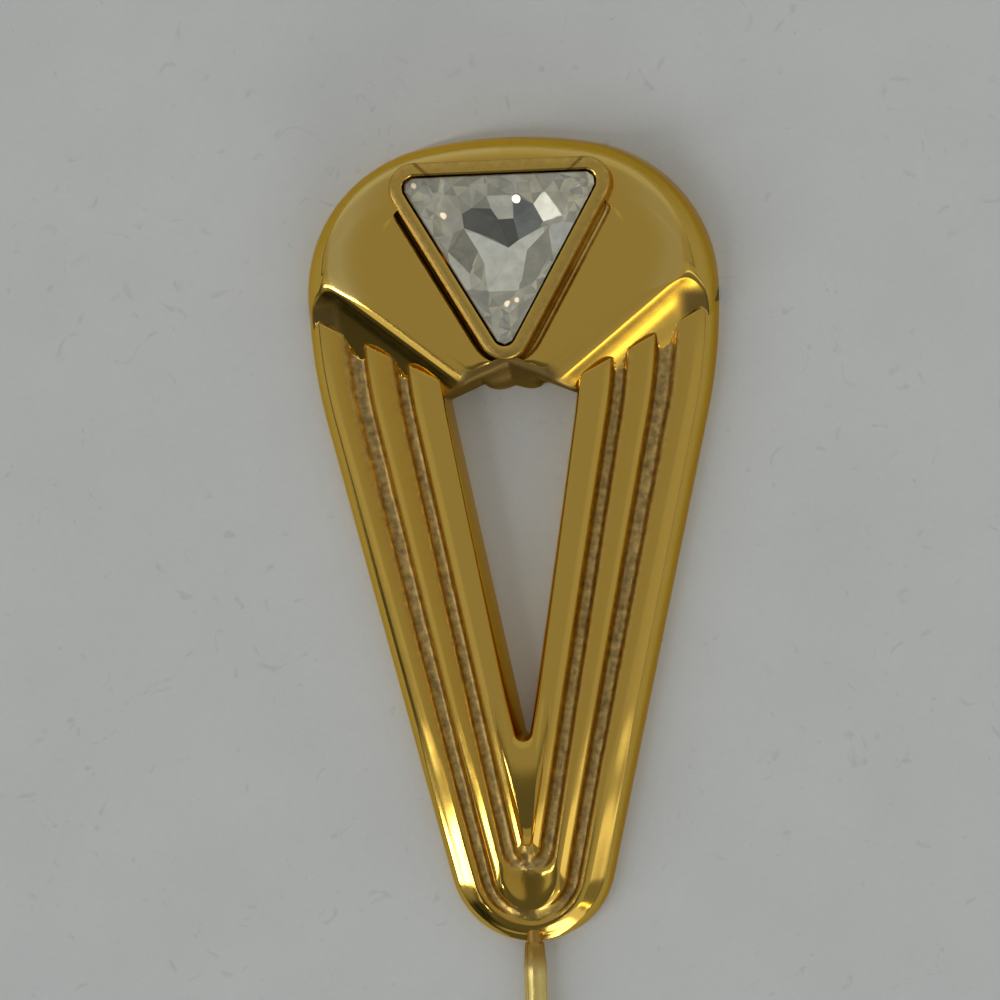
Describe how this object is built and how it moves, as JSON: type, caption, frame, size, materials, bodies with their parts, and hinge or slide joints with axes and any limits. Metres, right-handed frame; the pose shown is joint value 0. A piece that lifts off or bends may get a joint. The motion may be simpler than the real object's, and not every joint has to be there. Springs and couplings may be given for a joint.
{
  "type": "stick pin",
  "caption": "Stick pin with a long cast head: stepped ridges run down and round a narrow triangular gap, below smooth lobes and a triangular setting that holds a cut stone.",
  "frame": {"origin": "middle of the whole pin, in the plane of the head's flat back", "axes": "+Y along the pin from the point to the crown of the head, +Z from the flat back towards the stone, +X to the right of the head as it is seen from the front"},
  "size_m": [0.02, 0.084, 0.0045],
  "materials": {
    "gilt_head": "worn gilt, polished on the ridges and rough in the grooves",
    "crystal": "cut and polished, with a silver foil on its back",
    "gilt_stem": "drawn and gilt"
  },
  "bodies": {
    "root": {"head": "gilt_head", "stone": "crystal", "pin_stem": "gilt_stem"}
  },
  "joints": []
}
